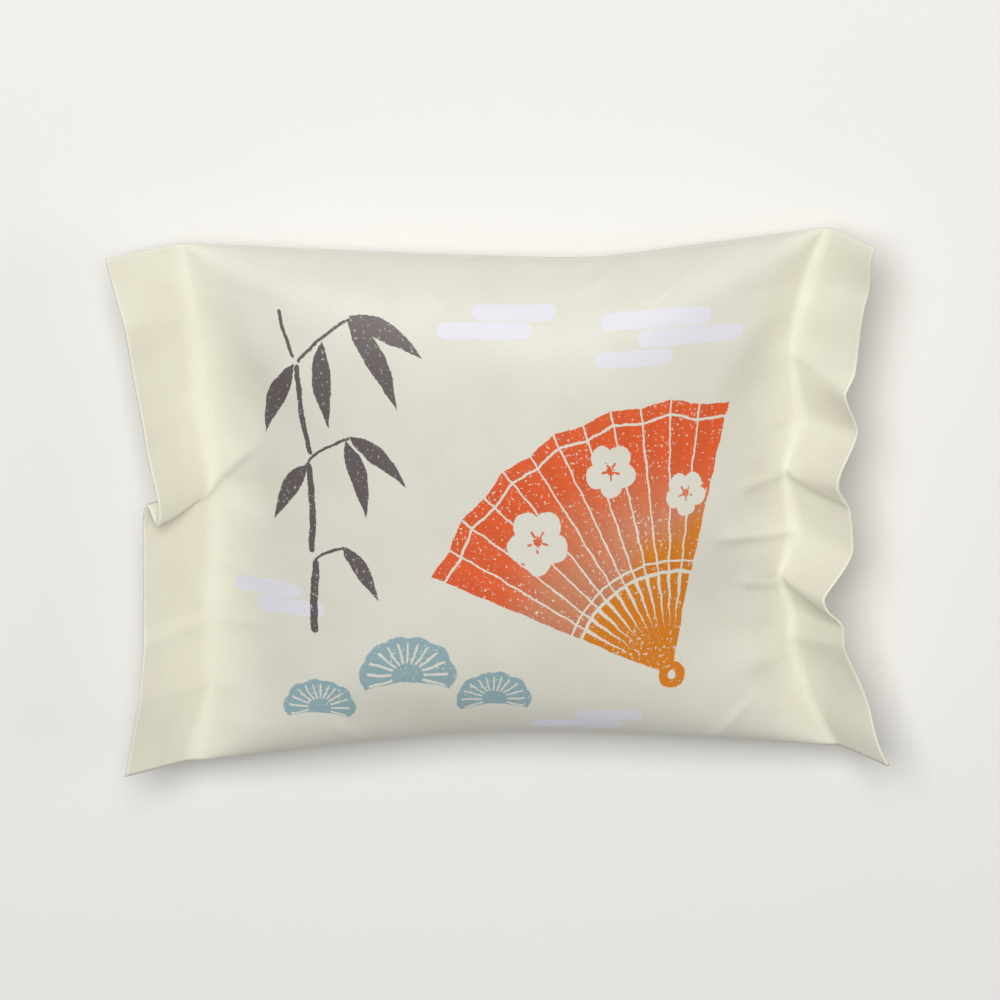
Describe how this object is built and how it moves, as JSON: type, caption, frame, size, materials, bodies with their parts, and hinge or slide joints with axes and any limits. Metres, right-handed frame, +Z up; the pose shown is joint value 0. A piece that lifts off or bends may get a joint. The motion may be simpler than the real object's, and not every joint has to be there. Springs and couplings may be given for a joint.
{
  "type": "wrapped cake sachet",
  "caption": "Sealed pillow-shaped paper-film sachet with a small cake inside, lying on its back; end seals bent up, lap seam along the underside.",
  "frame": {"origin": "on the surface that the sachet lies on, under the middle of its bounding box", "axes": "+X along the sachet from the left end seal to the right one as the print is seen upright, +Y towards the top of the print, +Z up, out of the printed face"},
  "size_m": [0.1188, 0.084, 0.0218],
  "materials": {
    "film": "matt cream paper film"
  },
  "bodies": {
    "root": {"sachet": "film"}
  },
  "joints": []
}
